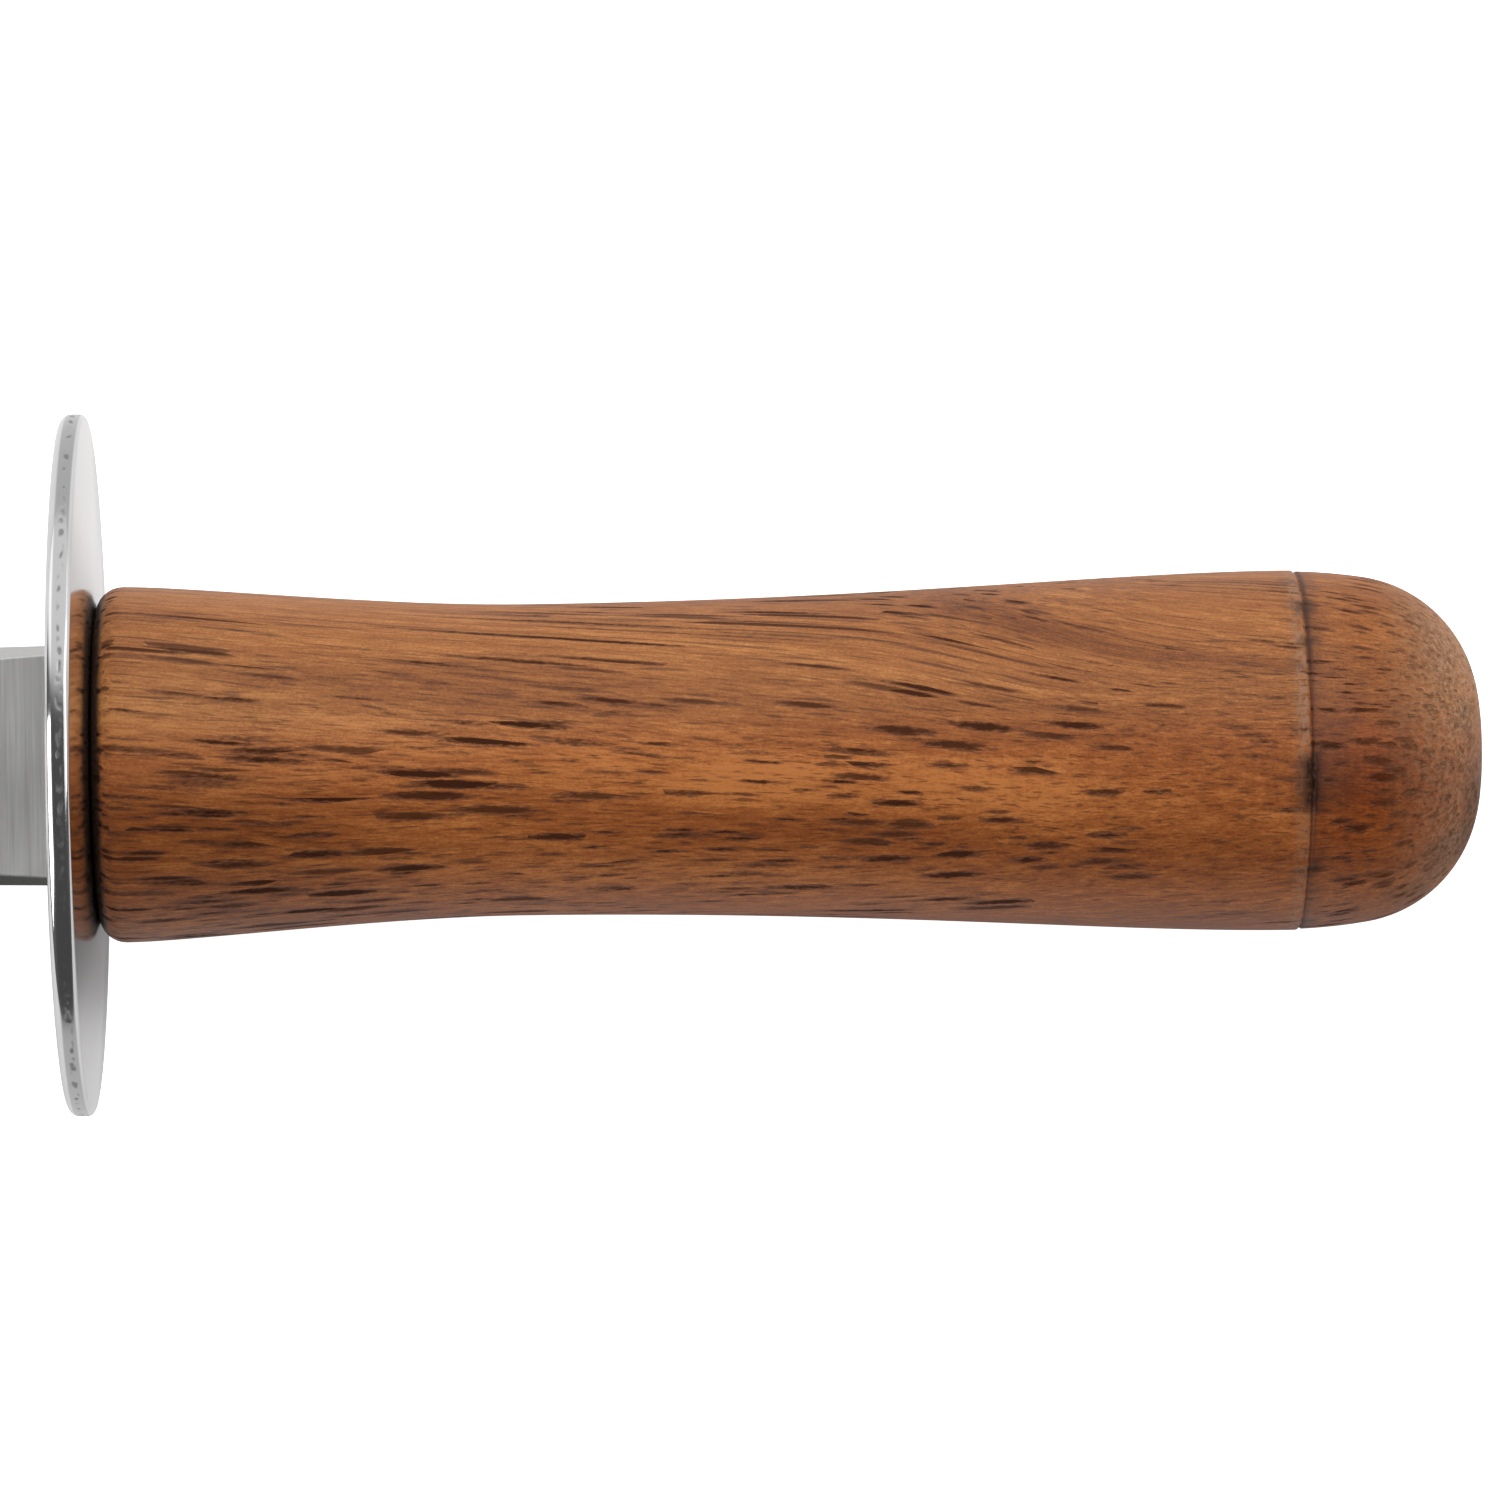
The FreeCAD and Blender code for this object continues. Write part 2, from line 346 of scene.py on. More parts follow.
def slot_rectangle(bm, distance):
    """The four edges of the slot's outline on one face of the disc."""
    half_width = SLOT_WIDTH / 2
    half_height = SLOT_HEIGHT / 2
    first = bm.verts.new((distance, -half_width, -half_height))
    corners = [
        (distance, half_width, -half_height),
        (distance, half_width, half_height),
        (distance, -half_width, half_height),
    ]
    last = draw_to(bm, first, corners)
    bm.edges.new((last, first))
    bm.edges.ensure_lookup_table()
    return bm.edges[-4:]


def fill_seat(bm, hole, distance):
    """Fill the flat between the slot and the spun ring on one face of the disc."""
    ring = [
        edge
        for edge in bm.edges
        if edge.is_boundary and all(abs(vert.co.x - distance) < NEAR for vert in edge.verts)
    ]
    bmesh.ops.triangle_fill(bm, edges=ring + hole, use_beauty=True, use_dissolve=False)


rear_hole = slot_rectangle(guard_mesh, 0.0)
fill_seat(guard_mesh, rear_hole, 0.0)
front_hole = slot_rectangle(guard_mesh, -GUARD_THICKNESS)
fill_seat(guard_mesh, front_hole, -GUARD_THICKNESS)
bmesh.ops.bridge_loops(guard_mesh, edges=rear_hole + front_hole)
bmesh.ops.recalc_face_normals(guard_mesh, faces=guard_mesh.faces)
print("open edges left on the guard:", sum(not edge.is_manifold for edge in guard_mesh.edges))

# %% [markdown]
# ### Pits along the rim
#
# Stamping tears the middle of a sheet's cut edge, and polishing doesn't quite reach the bottom of
# the tear, so the rim has a broken row of small pits along its middle. They are dents in the mesh.
# A vertex attribute remembers how deep each dent is, so that the steel can be darker there.

# %% Dent the rim's land and keep the depth as an attribute
PIT_DEPTH = 0.03
PIT_ROW_HALF_WIDTH = 0.30
PATCH_WAVES = 3.1
PATCH_START = Vector((4, 1, 7))
PATCH_SHARE = 0.3
SPECK_WAVES = 40
SPECK_ALONG = 2.4
SPECK_RAISE = 0.02
PIT_GAIN = 2.2
DEEP_PIT = 0.3

pit_layer = guard_mesh.verts.layers.float.new("pit")
land_middle = (rear_x + front_x) / 2
pitted = 0
for vert in guard_mesh.verts:
    radius = vert.co.yz.length
    if radius < GUARD_RADIUS - 0.01:
        continue
    around = vert.co.yz / radius
    row = max(0.0, 1 - abs(vert.co.x - land_middle) / PIT_ROW_HALF_WIDTH)
    patch = noise.noise(Vector((around.x, around.y, 0)) * PATCH_WAVES + PATCH_START)
    speck_place = Vector((around.x * SPECK_WAVES, around.y * SPECK_WAVES, vert.co.x * SPECK_ALONG))
    speck = noise.noise(speck_place)
    depth = min(1.0, row * max(0.0, speck + PATCH_SHARE * patch + SPECK_RAISE) * PIT_GAIN)
    vert[pit_layer] = depth
    vert.co.yz *= 1 - depth * PIT_DEPTH / radius
    pitted += depth > DEEP_PIT
print("pitted points on the rim:", pitted)

guard = finish_piece(guard_mesh, "round_guard", "guard_disc", sharp_angle=40)

# %% [markdown]
# ## The blade
#
# The blade is flat bar with two straight flanks that close in an arched point, and a bevel ground on
# each side of each edge. Two outlines describe it: the edge itself and the flat between the bevels.
# Bridging loops of edges between them makes the bevels, and the tang is extruded from the root.

# %% The blade's sizes
BLADE_LENGTH = 63.5
BLADE_THICKNESS = 2.6
HALF_WIDTH = 8.7
FLANK_LENGTH = 36.0
FLANK_HALF_WIDTH = 8.1
TIP_RADIUS = 2.0
ROOT_EDGE_LAND = 1.7
TIP_EDGE_LAND = 0.4
ROOT_BEVEL = 0.65
FLANK_BEVEL = 2.5
TIP_BEVEL = 8.0
FLAT_TIP_RADIUS = 1.2
FLAT_FALL = 0.5
POINT_STEPS = 28
TIP_STEPS = 12


def lancet_outline(bm, root_half, flank_half, length, tip_radius):
    """A closed lancet outline in the XY plane, root across x = 0, as a list of edges."""
    narrowing = math.atan2(root_half - flank_half, FLANK_LENGTH)
    reach = length - tip_radius - FLANK_LENGTH
    rise = flank_half * math.cos(narrowing) - reach * math.sin(narrowing) - tip_radius
    point_radius = (reach**2 + flank_half**2 - tip_radius**2) / (2 * rise)
    away = Vector((-math.sin(narrowing), math.cos(narrowing), 0))
    flank_end = Vector((-FLANK_LENGTH, flank_half, 0))
    tip_centre = Vector((tip_radius - length, 0, 0))
    centre = flank_end - away * point_radius
    touch = (tip_centre - centre).normalized()
    sweep = math.degrees(away.angle(touch))
    tip_sweep = 2 * math.degrees(touch.angle(Vector((-1, 0, 0))))
    other_centre = Vector((centre.x, -centre.y, 0))
    edges_before = len(bm.edges)
    first = bm.verts.new((0, root_half, 0))
    last = draw_to(bm, first, [flank_end])
    last = swing(bm, last, centre, sweep, POINT_STEPS)
    last = swing(bm, last, tip_centre, tip_sweep, TIP_STEPS)
    last = swing(bm, last, other_centre, sweep, POINT_STEPS)
    last = draw_to(bm, last, [(0, -root_half, 0)])
    bm.edges.new((last, first))
    bm.edges.ensure_lookup_table()
    return bm.edges[edges_before:]


def lift_outline(edges, root_height, fall):
    """Lift an outline to a height at the root that falls along the blade."""
    for vert in {vert for edge in edges for vert in edge.verts}:
        vert.co.z = root_height + fall * vert.co.x / BLADE_LENGTH


# %% Draw the four outlines and bridge them into bevels and flats
blade_mesh = bmesh.new()
edge_fall = (ROOT_EDGE_LAND - TIP_EDGE_LAND) / 2
flat_sizes = (
    HALF_WIDTH - ROOT_BEVEL,
    FLANK_HALF_WIDTH - FLANK_BEVEL,
    BLADE_LENGTH - TIP_BEVEL,
    FLAT_TIP_RADIUS,
)
edge_sizes = (HALF_WIDTH, FLANK_HALF_WIDTH, BLADE_LENGTH, TIP_RADIUS)
loops = []
for side, sizes, height, fall in (
    (1, flat_sizes, BLADE_THICKNESS / 2, FLAT_FALL),
    (1, edge_sizes, ROOT_EDGE_LAND / 2, edge_fall),
    (-1, edge_sizes, ROOT_EDGE_LAND / 2, edge_fall),
    (-1, flat_sizes, BLADE_THICKNESS / 2, FLAT_FALL),
):
    outline = lancet_outline(blade_mesh, *sizes)
    lift_outline(outline, side * height, side * fall)
    loops.append(outline)
for upper, lower in zip(loops, loops[1:]):
    bmesh.ops.bridge_loops(blade_mesh, edges=upper + lower)
for flat in (loops[0], loops[-1]):
    bmesh.ops.contextual_create(blade_mesh, geom=flat)
bmesh.ops.recalc_face_normals(blade_mesh, faces=blade_mesh.faces)
print("the ground blade has", len(blade_mesh.faces), "faces")

# %% Break the ground corners by a hair, as a finishing belt does
BREAK_WIDTH = 0.07
CORNER_ANGLE = math.radians(6)

ground_corners = [
    edge
    for edge in blade_mesh.edges
    if edge.calc_face_angle() > CORNER_ANGLE and min(vert.co.x for vert in edge.verts) < -NEAR
]
bmesh.ops.bevel(
    blade_mesh,
    geom=ground_corners,
    offset=BREAK_WIDTH,
    offset_type="OFFSET",
    segments=2,
    profile=0.5,
    affect="EDGES",
    material=-1,
    clamp_overlap=True,
)
print("the blade has", len(blade_mesh.faces), "faces with its corners broken")

# %% Extrude the tang from the blade's root and move the blade to the guard
TANG_LENGTH = 60.0
TANG_HALF_WIDTH = 3.5
TANG_END_HALF_WIDTH = 2.5


def root_faces(bm, distance):
    """The faces that lie across the blade at one distance."""
    return [
        face for face in bm.faces if all(abs(vert.co.x - distance) < NEAR for vert in face.verts)
    ]


for side in (1, -1):
    cut = root_faces(blade_mesh, 0.0)
    parts = {part for face in cut for part in list(face.edges) + list(face.verts)}
    bmesh.ops.bisect_plane(
        blade_mesh,
        geom=list(parts) + cut,
        plane_co=(0, side * TANG_HALF_WIDTH, 0),
        plane_no=(0, 1, 0),
        dist=MERGE_DISTANCE,
    )
tang_root = [
    face
    for face in root_faces(blade_mesh, 0.0)
    if abs(face.calc_center_median().y) < TANG_HALF_WIDTH
]
for length in (GUARD_THICKNESS, TANG_LENGTH):
    grown = bmesh.ops.extrude_face_region(blade_mesh, geom=tang_root)["geom"]
    tang_root = [part for part in grown if isinstance(part, bmesh.types.BMFace)]
    end_verts = [part for part in grown if isinstance(part, bmesh.types.BMVert)]
    bmesh.ops.translate(blade_mesh, vec=(length, 0, 0), verts=end_verts)
bmesh.ops.scale(blade_mesh, vec=(1, TANG_END_HALF_WIDTH / TANG_HALF_WIDTH, 1), verts=end_verts)
bmesh.ops.translate(blade_mesh, vec=-thickness, verts=blade_mesh.verts)
bmesh.ops.recalc_face_normals(blade_mesh, faces=blade_mesh.faces)
print("open edges left on the blade:", sum(not edge.is_manifold for edge in blade_mesh.edges))

blade = finish_piece(blade_mesh, "lancet_blade", "blade", sharp_angle=20)

# %% [markdown]
# ## A short way to write node finishes
#
# Each finish below is a small graph of nodes on the Principled shader. Written out in full, adding
# and linking nodes hides what the finish is. So a small class adds a node and sets or links its
# inputs in one call, and offers the few moves that every finish here needs: noise, a soft step, a
# band between two soft steps, products and sums, a blend, and the knife's own millimetres as
# coordinates.

# %% A finish is a material with helpers for its nodes
class Finish:
    """A material, and short calls that add nodes to it and join them."""

    def __init__(self, name):
        self.material = bpy.data.materials.new(name)
        self.material.use_nodes = True
        self.tree = self.material.node_tree
        self.shader = self.tree.nodes["Principled BSDF"]

    def feed(self, socket, value):
        """Link a socket to an input, or set the input to a plain value."""
        if isinstance(value, bpy.types.NodeSocket):
            self.tree.links.new(value, socket)
        else:
            socket.default_value = value

    def node(self, kind, inputs, **settings):
        """A new node with its settings made and its inputs fed."""
        made = self.tree.nodes.new("ShaderNode" + kind)
        for name, value in settings.items():
            setattr(made, name, value)
        for name, value in inputs.items():
            self.feed(made.inputs[name], value)
        return made

    def moved(self, vector, shift=(0, 0, 0), turn=(0, 0, 0), scale=(1, 1, 1)):
        """Coordinates that are scaled, turned and shifted."""
        inputs = {"Vector": vector, "Location": shift, "Rotation": turn, "Scale": scale}
        return self.node("Mapping", inputs).outputs["Vector"]

    def knife_millimetres(self):
        """Object coordinates, turned back into the knife's own frame in millimetres."""
        spot = self.node("TexCoord", {}).outputs["Object"]
        turn = mm_knife.to_3x3().normalized().to_euler()
        return self.moved(spot, mm_knife.translation, turn, (1 / MM, 1 / MM, 1 / MM))

    def noise(self, vector, scale, detail=2.0, roughness=0.5, output="Fac"):
        """Noise with a scale of its own along each axis."""
        stretched = self.moved(vector, scale=scale)
        inputs = {"Vector": stretched, "Scale": 1.0, "Detail": detail, "Roughness": roughness}
        return self.node("TexNoise", inputs).outputs[output]

    def math(self, operation, first, second=0.0):
        return self.node("Math", {0: first, 1: second}, operation=operation).outputs[0]

    def times(self, first, *others):
        """The product of several values."""
        for other in others:
            first = self.math("MULTIPLY", first, other)
        return first

    def weighted(self, *parts):
        """The sum of several values, each times its weight."""
        total = 0.0
        for value, weight in parts:
            total = self.math("ADD", self.math("MULTIPLY", value, weight), total)
        return total

    def soft_step(self, value, low, high, start=0.0, end=1.0):
        """A smooth change from start to end while the value goes from low to high."""
        inputs = {"Value": value, "From Min": low, "From Max": high, "To Min": start, "To Max": end}
        return self.node("MapRange", inputs, interpolation_type="SMOOTHSTEP").outputs["Result"]

    def band(self, value, rise, fall):
        """A band with two soft edges. Each edge goes from where it is nothing to where it is full."""
        return self.times(self.soft_step(value, *rise), self.soft_step(value, *fall))

    def blend(self, amount, first, second, mode="MIX"):
        inputs = {0: amount, 6: first, 7: second}
        return self.node("Mix", inputs, data_type="RGBA", blend_type=mode).outputs[2]

    def ramp(self, value, stops):
        """A colour for each value, between stops that are pairs of place and colour."""
        made = self.node("ValToRGB", {"Fac": value})
        elements = made.color_ramp.elements
        while len(elements) < len(stops):
            elements.new(1.0)
        for element, (place, colour) in zip(elements, stops):
            element.position = place
            element.color = colour
        return made.outputs["Color"]

    def split(self, vector):
        return self.node("SeparateXYZ", {"Vector": vector}).outputs

    def bump(self, height, distance, strength):
        inputs = {"Height": height, "Distance": distance, "Strength": strength}
        self.feed(self.shader.inputs["Normal"], self.node("Bump", inputs).outputs["Normal"])

    def surface(self, **inputs):
        """Feed the shader's own inputs, with an underscore for each space in a name."""
        for name, value in inputs.items():
            self.feed(self.shader.inputs[name.replace("_", " ")], value)

    def cover(self, piece):
        piece.data.materials.clear()
        piece.data.materials.append(self.material)
        print(self.material.name, "covers", piece.name, "with", len(self.tree.nodes), "nodes")


# %% [markdown]
# ## Wood
#
# The handle is a brown hardwood with large open pores. A pore is a tube along the grain, and the
# lathe cuts it where the surface crosses it: at a steep crossing it shows as a short dash, and where
# the surface runs with the grain it shows as a long dark line. Painting dashes on the surface would
# miss that. Here the pores fill the whole block as stretched Voronoi cells, tilted a few degrees to
# the axis as the grain is, so that turning the handle out of the block cuts them by itself. The grain
# also dips towards both ends and swirls before the butt, which changes the length of the dashes from
# place to place. All places on the wood are in the knife's millimetres.

# %% The block of wood: the grain's direction, its bends and its wander
GRAIN_LEAN = 0.119
GRAIN_TURN = 0.075
GRAIN_SWIRL = 4.4
FRONT_DIP = -2.6
REAR_DIP = -3.4
GRAIN_WANDER = 2.2

wood = Finish("lacquered_brown_wood")
place = wood.knife_millimetres()
place_x = wood.split(place)["X"]
place_y = wood.split(place)["Y"]
grain = wood.moved(place, turn=(0, GRAIN_LEAN, GRAIN_TURN))
swirl = wood.times(wood.soft_step(place_x, 54, 80, 0, GRAIN_SWIRL), wood.soft_step(place_y, 0, 8))
front_dip = wood.soft_step(place_x, -10, 34, FRONT_DIP, 0)
dip = wood.math("ADD", front_dip, wood.soft_step(place_x, 48, 96, 0, REAR_DIP))
bends = wood.node("CombineXYZ", {"Y": swirl, "Z": dip}).outputs[0]
grain = wood.node("VectorMath", {0: grain, 1: bends}, operation="ADD").outputs[0]
swirl_line = wood.band(wood.split(grain)["Y"], (14.8, 16.2), (18.2, 16.8))
swirl_line = wood.times(swirl_line, wood.band(place_x, (57, 63), (88, 74)))
drift = wood.noise(grain, (0.014, 0.08, 0.08), 1.0, 0.5, "Color")
straying = {0: drift, 1: (0, GRAIN_WANDER, GRAIN_WANDER), 2: grain}
grain = wood.node("VectorMath", straying, operation="MULTIPLY_ADD").outputs[0]
lean_shown = round(math.degrees(GRAIN_LEAN), 1)
print("the grain leans", lean_shown, "degrees and wanders by", GRAIN_WANDER / 2, "mm each way")

# %% Growth layers, fibres, streaks and rays
layers = wood.noise(wood.moved(grain, shift=(0, 1.8, 0)), (0.008, 0.20, 0.06), 2.0, 0.45)
late_wood = wood.soft_step(place_y, 1.5, 6.5)
fibres = wood.noise(grain, (0.05, 1.9, 1.9), 3.0, 0.65)
hairs = wood.noise(grain, (0.55, 6.5, 6.5), 2.0, 0.65)
speckle = wood.noise(place, (4.5, 6.5, 6.5), 2.0, 0.7)
streaks = wood.noise(grain, (0.055, 4.4, 4.4), 1.0, 0.5)
rays = wood.noise(place, (2.4, 0.35, 0.35), 2.0, 0.6)
ray_patches = wood.soft_step(wood.noise(place, (0.07, 0.12, 0.12), 1.0, 0.5), 0.38, 0.55)
rays_shown = wood.times(rays, ray_patches, wood.band(place_y, (-7.5, -4), (1.5, -1.5)))
print("the block of wood has", len(wood.tree.nodes), "nodes before its pores")

# %% [markdown]
# Pores come in two kinds. Wide tubes make the short dashes and are rare in late wood, where fine long
# tubes take over. They crowd together near the guard and along the swirl, and noise makes their ends
# ragged. A dice throw for each tube makes some of them paler.

# %% Pores: one possible tube in each stretched cell
WIDE_PORE_SPACING = 0.70
FINE_PORE_SPACING = 0.42
ODDS_RANGE = 0.42
NO_TUBE = -0.35

by_guard = wood.times(wood.soft_step(place_x, 38, 14), wood.soft_step(place_y, 3, 0))
crowds = wood.noise(grain, (0.03, 0.16, 0.16), 1.0, 0.5)
crowding = wood.weighted((crowds, 0.30), (swirl_line, 0.12), (by_guard, 0.18))
ragged = wood.times(
    wood.noise(place, (1.3, 5.0, 5.0), 3.0, 0.7),
    wood.soft_step(late_wood, 0, 1, 0.80, 0.50),
    wood.soft_step(by_guard, 0, 1, 1.0, 0.72),
)


def pore_tubes(spacing, length, rarest, size, in_early_wood, in_late_wood):
    """How far each spot is inside a tube, and a dice throw for each tube."""
    cell_scale = (1 / length, 1 / spacing, 1 / spacing)
    inputs = {"Vector": wood.moved(grain, scale=cell_scale), "Scale": 1.0, "Randomness": 1.0}
    cells = wood.node("TexVoronoi", inputs, feature="F1")
    dice = wood.split(cells.outputs["Color"])
    odds = wood.math("ADD", dice["X"], crowding)
    odds = wood.math("ADD", odds, wood.soft_step(late_wood, 0, 1, in_early_wood, in_late_wood))
    tube_size = wood.soft_step(odds, rarest, rarest + ODDS_RANGE, NO_TUBE, size)
    reach = wood.math("ADD", cells.outputs["Distance"], ragged)
    return wood.math("SUBTRACT", tube_size, reach), dice["Y"]


wide_tubes, wide_dice = pore_tubes(
    WIDE_PORE_SPACING, length=34, rarest=0.66, size=0.46, in_early_wood=0.08, in_late_wood=-0.30
)
fine_tubes, fine_dice = pore_tubes(
    FINE_PORE_SPACING, length=56, rarest=0.68, size=0.35, in_early_wood=0.04, in_late_wood=0.08
)
wide_darkness = wood.soft_step(wide_dice, 0, 1, 0.60, 1.0)
fine_darkness = wood.soft_step(fine_dice, 0, 1, 0.45, 0.95)
wide_pores = wood.times(wood.soft_step(wide_tubes, -0.46, -0.18), wide_darkness)
fine_pores = wood.times(wood.soft_step(fine_tubes, -0.46, -0.20), fine_darkness)
pores = wood.math("MAXIMUM", wide_pores, fine_pores)
pore_edges = wood.soft_step(wood.math("MAXIMUM", wide_tubes, fine_tubes), -0.62, -0.36)
print("pores are spaced by", WIDE_PORE_SPACING, "mm where wide and", FINE_PORE_SPACING, "mm where fine")

# %% [markdown]
# Layers, fibres and speckle add up to one tone, and a ramp of four browns turns the tone into colour.
# The wood is paler near the guard on one side and darker where a thumb rests. A tint over the
# ramp's browns is painted sheen: the upper side, which faces the light, is paler, and the lower side
# redder.

# %% Colour from all of these
SHADED_SIDE_TINT = (0.98, 0.91, 0.80, 1)
SHEEN_SIDE_TINT = (1.01, 1.13, 1.15, 1)
STREAK_BROWN = (0.080, 0.021, 0.006, 1)
PORE_EDGE_BROWN = (0.100, 0.026, 0.006, 1)
PORE_BROWN = (0.042, 0.011, 0.0035, 1)
WOOD_BROWNS = [
    (0.285, (0.105, 0.0235, 0.0038, 1)),
    (0.375, (0.208, 0.0545, 0.0100, 1)),
    (0.455, (0.334, 0.1030, 0.0230, 1)),
    (0.555, (0.535, 0.1980, 0.0550, 1)),
]

pale = wood.times(wood.band(place_y, (4, 7.5), (11, 9.2)), wood.soft_step(place_x, 32, 8))
by_thumb = wood.band(place_y, (-5.2, -3.4), (0.4, -1.2))
handled = wood.times(by_thumb, wood.soft_step(place_x, 76, 83))
tone = wood.weighted(
    (layers, 0.28),
    (fibres, 0.25),
    (hairs, 0.20),
    (speckle, 0.17),
    (rays_shown, 0.10),
    (swirl_line, -0.05),
    (pale, 0.035),
    (handled, -0.06),
)
clear_wood = wood.ramp(tone, WOOD_BROWNS)
# Painted sheen: the upper side is tinted paler and the lower side redder, as the light falls.
painted_sheen_tint = wood.blend(wood.soft_step(place_y, 0.0, 4.5), SHADED_SIDE_TINT, SHEEN_SIDE_TINT)
sheen_tinted_wood = wood.blend(1.0, clear_wood, painted_sheen_tint, "MULTIPLY")
streaked_wood = wood.blend(wood.soft_step(streaks, 0.58, 0.70, 0.0, 0.6), sheen_tinted_wood, STREAK_BROWN)
edged_wood = wood.blend(wood.times(pore_edges, 0.60), streaked_wood, PORE_EDGE_BROWN)
pore_darkness = wood.times(pores, wood.soft_step(place_x, 88, 94, 1.0, 0.35))
pored_wood = wood.blend(pore_darkness, edged_wood, PORE_BROWN)
print("the wood's colour runs over", len(WOOD_BROWNS), "browns")

# %% [markdown]
# The butt cuts straight across the grain, so it drinks more lacquer and is darker, most of all in
# blotches. Close behind the ring it is darker in a patch, and a painted shadow runs along the ring.
# It has faint rings from the turning tool and pale dust towards the end, and its last edge is darker on
# one side.

# %% The butt's end grain
BUTT_TINT = (0.70, 0.53, 0.34, 1)
SOAKED_AND_SHADOW_BROWN = (0.060, 0.020, 0.007, 1)
DUST_COLOUR = (0.50, 0.275, 0.150, 1)
END_EDGE_BROWN = (0.055, 0.027, 0.016, 1)

butt = wood.soft_step(place_x, 86.6, 87.0)
end_grain = wood.soft_step(place_x, 90.5, 98.5)
tool_rings = wood.noise(place, (3.2, 0.02, 0.02), 3.0, 0.7)
blotches = wood.noise(place, (0.16, 0.13, 0.13), 2.0, 0.5)
butt_shade = wood.times(
    butt,
    wood.soft_step(tool_rings, 0.35, 0.7, 1.0, 0.75),
    wood.soft_step(place_y, -2.0, 6.0, 1.0, 0.45),
    wood.soft_step(place_y, -10.0, -5.0, 0.3, 1.0),
)
butt_wood = wood.blend(butt_shade, pored_wood, BUTT_TINT, "MULTIPLY")
soaked = wood.times(end_grain, wood.soft_step(blotches, 0.44, 0.62, 0.0, 0.7))
dark_patch_by_ring = wood.times(
    butt,
    wood.soft_step(place_x, 91.0, 88.0, 0.0, 0.32),
    wood.band(place_y, (-6.0, -3.5), (4.0, 1.0)),
)
# Painted shadow: a soft dark band just behind the scored ring.
ring_shadow_line = wood.times(butt, wood.soft_step(place_x, 88.4, 87.0, 0, 0.30))
# The dark patch and the painted shadow behind the ring share one brown with the soaked blotches.
patch_and_ring_shadow = wood.math("MAXIMUM", dark_patch_by_ring, ring_shadow_line)
soaked_and_shaded_wood = wood.blend(wood.math("MAXIMUM", soaked, patch_and_ring_shadow), butt_wood, SOAKED_AND_SHADOW_BROWN)
dusty = wood.times(
    wood.soft_step(wood.noise(place, (2.0, 2.8, 2.8), 4.0, 0.72), 0.36, 0.70, 0.25, 0.95),
    end_grain,
    wood.soft_step(place_y, -4.0, 7.0, 0.62, 1.0),
)
dusted_wood = wood.blend(dusty, soaked_and_shaded_wood, DUST_COLOUR)
# The butt's last edge is darker on its lower side, along a ragged line.
dark_edge_side = wood.weighted((blotches, -18.0), (place_y, 1.0))
dark_end_edge = wood.times(
    wood.soft_step(place_x, 97.6, 98.8), wood.soft_step(dark_edge_side, -4.5, -13.0, 0, 0.5)
)
edge_darkened_wood = wood.blend(dark_end_edge, dusted_wood, END_EDGE_BROWN)
print("the wood has", len(wood.tree.nodes), "nodes with its butt")

# %% [markdown]
# The scored ring tore the fibres. It shows as a band of pale crumbs with a groove behind it, not
# as one clean line, and painted shade darkens the groove. Dirt has settled round it in places, most
# of all in a smudge where the thumb rests. Painted shade also darkens the corner at the guard.

# %% The scored ring, its dirt, and painted shade in its groove and in the corner at the guard
TORN_FIBRE = (0.30, 0.165, 0.095, 1)
GROOVE_SHADE_BROWN = (0.045, 0.012, 0.004, 1)
RING_DIRT = (0.045, 0.014, 0.005, 1)
SMUDGE_BLACK = (0.022, 0.010, 0.006, 1)
CORNER_SHADE_BLACK = (0.016, 0.007, 0.004, 1)

wear = wood.noise(place, (0.25, 0.30, 0.30), 3.0, 0.6)
crumbs = wood.noise(place, (3.0, 1.7, 1.7), 4.0, 0.75)
torn = wood.times(
    wood.band(place_x, (85.3, 86.3), (86.85, 86.6)),
    wood.soft_step(crumbs, 0.42, 0.56, 0.05, 0.85),
    wood.soft_step(place_y, -6.0, 4.0, 0.55, 0.90),
)
torn_wood = wood.blend(torn, edge_darkened_wood, TORN_FIBRE)
# Painted shade: the groove is darkened along its bottom, more on the upper side.
groove_shade = wood.times(
    wood.band(place_x, (86.7, 86.9), (87.3, 86.95)), wood.soft_step(place_y, 2, 8, 0.3, 0.75)
)
groove_shaded_wood = wood.blend(groove_shade, torn_wood, GROOVE_SHADE_BROWN)
dirt_left = wood.math("MAXIMUM", wood.soft_step(wear, 0.50, 0.64), by_thumb)
dirt = wood.times(wood.band(place_x, (84.7, 86.6), (88.2, 87.0)), dirt_left, 0.7)
scored_wood = wood.blend(dirt, groove_shaded_wood, RING_DIRT)
smudge = wood.times(
    wood.band(place_x, (86.0, 86.6), (87.6, 87.0)),
    by_thumb,
    wood.soft_step(crumbs, 0.32, 0.62, 0.2, 0.95),
)
smudged_wood = wood.blend(smudge, scored_wood, SMUDGE_BLACK)
# Painted shade: the front round is darkened where it faces the guard, because that corner is in shadow.
corner_shade = wood.soft_step(place_x, 0.95, 0.45, 0.0, 0.95)
wood_colour = wood.blend(corner_shade, smudged_wood, CORNER_SHADE_BLACK)
print("the wood has", len(wood.tree.nodes), "nodes with its ring and its dirt")

# %% [markdown]
# The lacquer is satin. It is dull in the pores, on the end grain and on the smudge, so the shine
# follows them. An exported model drops a shine that comes from nodes, so a plain value is set first
# and stays in the socket behind the link.

# %% Satin lacquer over open pores
WOOD_ROUGHNESS = 0.40
PORE_RELIEF = 0.00010
PLAIN_SHINE = 0.30

